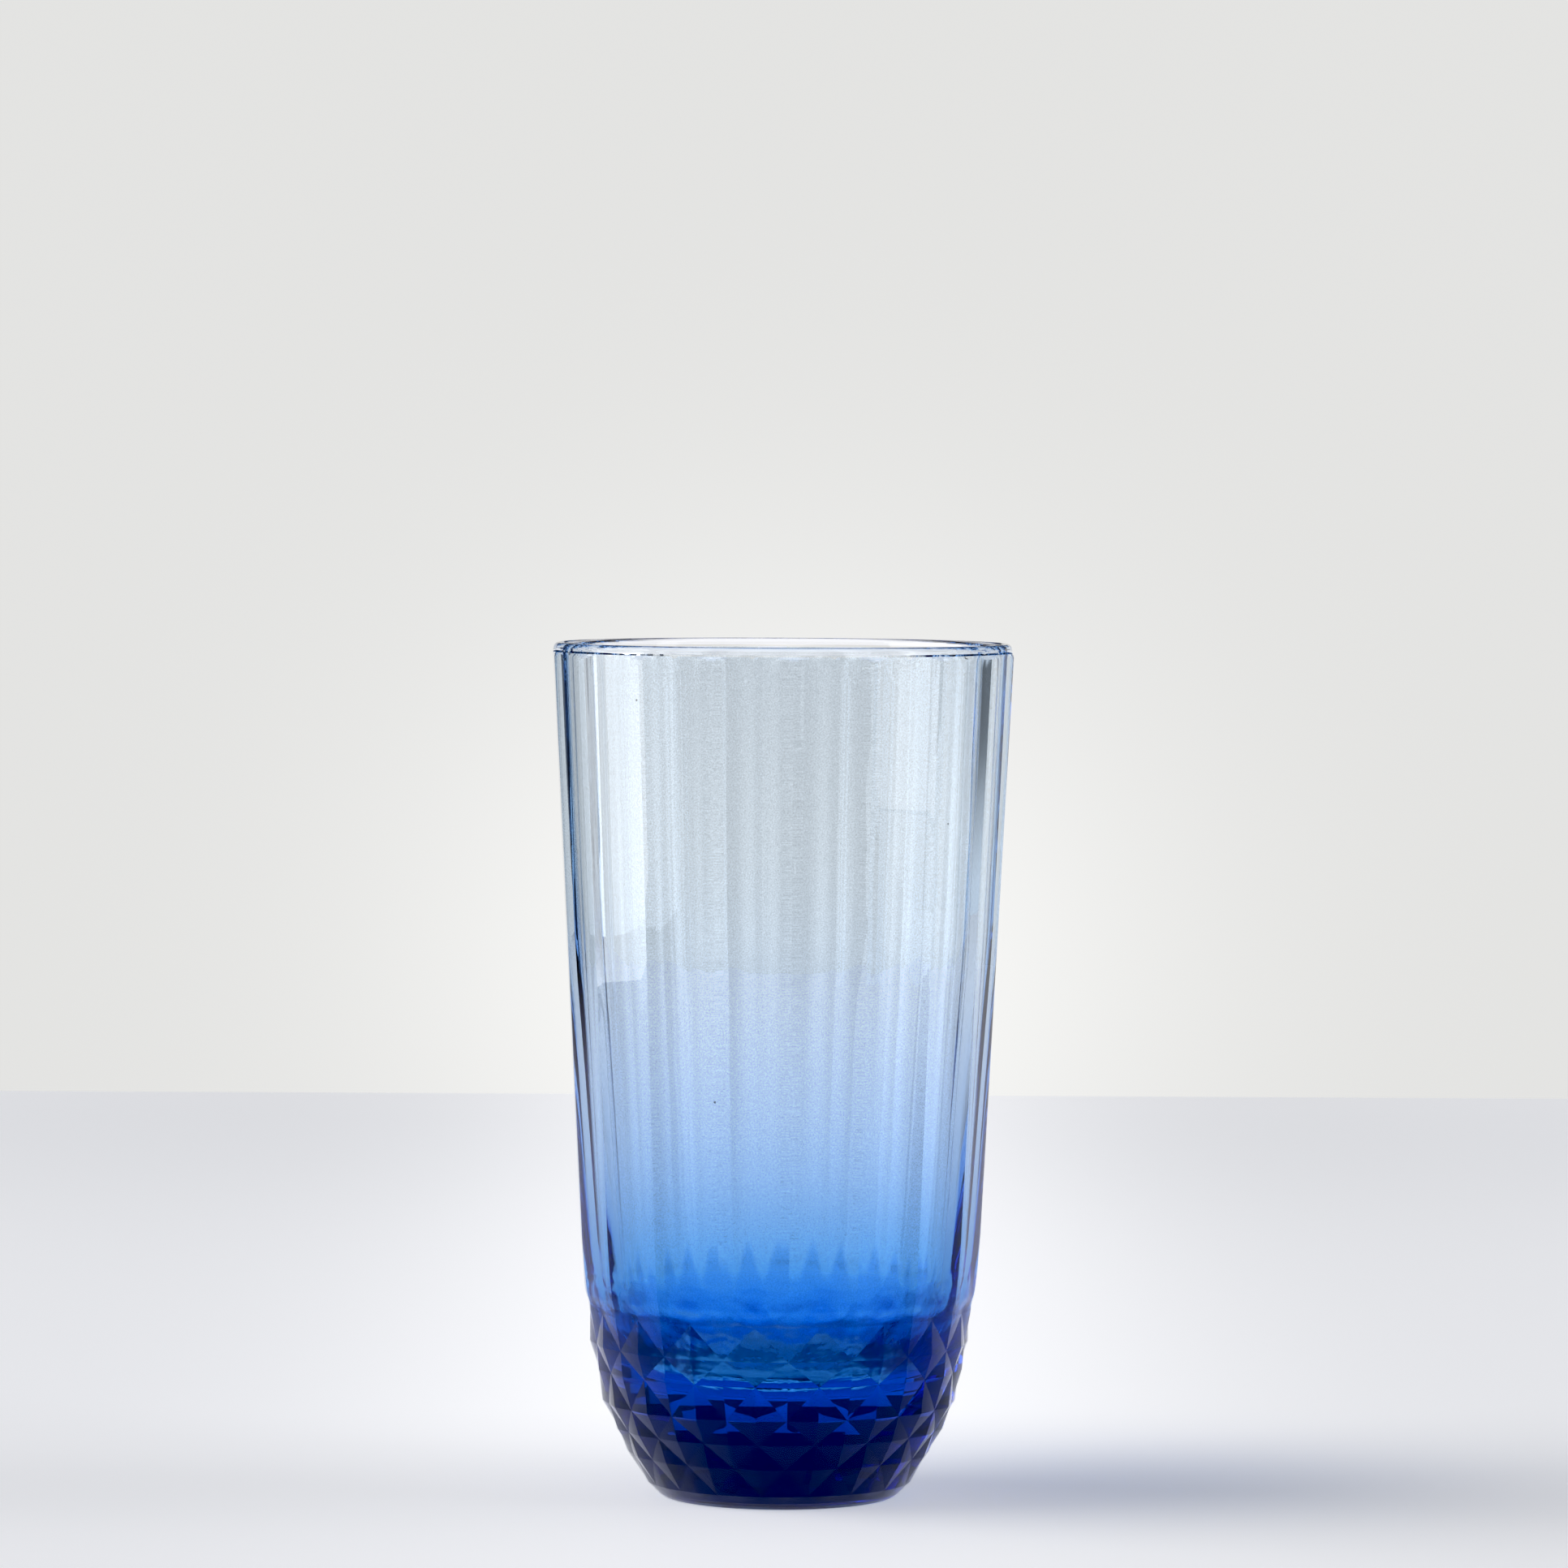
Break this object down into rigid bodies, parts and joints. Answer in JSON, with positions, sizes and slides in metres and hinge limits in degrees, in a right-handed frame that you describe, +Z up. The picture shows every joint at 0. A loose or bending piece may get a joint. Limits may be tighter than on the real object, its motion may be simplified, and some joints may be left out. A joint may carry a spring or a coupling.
{
  "type": "glass tumbler vase",
  "caption": "Tapered pressed-glass tumbler shape with flat wall panels, a cut-diamond base and a blue lacquer fade; holds a drink or a few short stems.",
  "frame": {"origin": "centre of the foot, on the plane the vessel stands on", "axes": "+Z up along the vessel's axis of symmetry, -Y towards the front, +X to the viewer's right"},
  "size_m": [0.07, 0.0706, 0.13],
  "materials": {
    "clear_glass": "fire-polished, clear",
    "blue_lacquer": "sprayed translucent lacquer, deep blue at the foot fading to clear grey-blue at the rim"
  },
  "bodies": {
    "root": {"glass_body": "clear_glass", "blue_lacquer_coat": "blue_lacquer"}
  },
  "joints": []
}
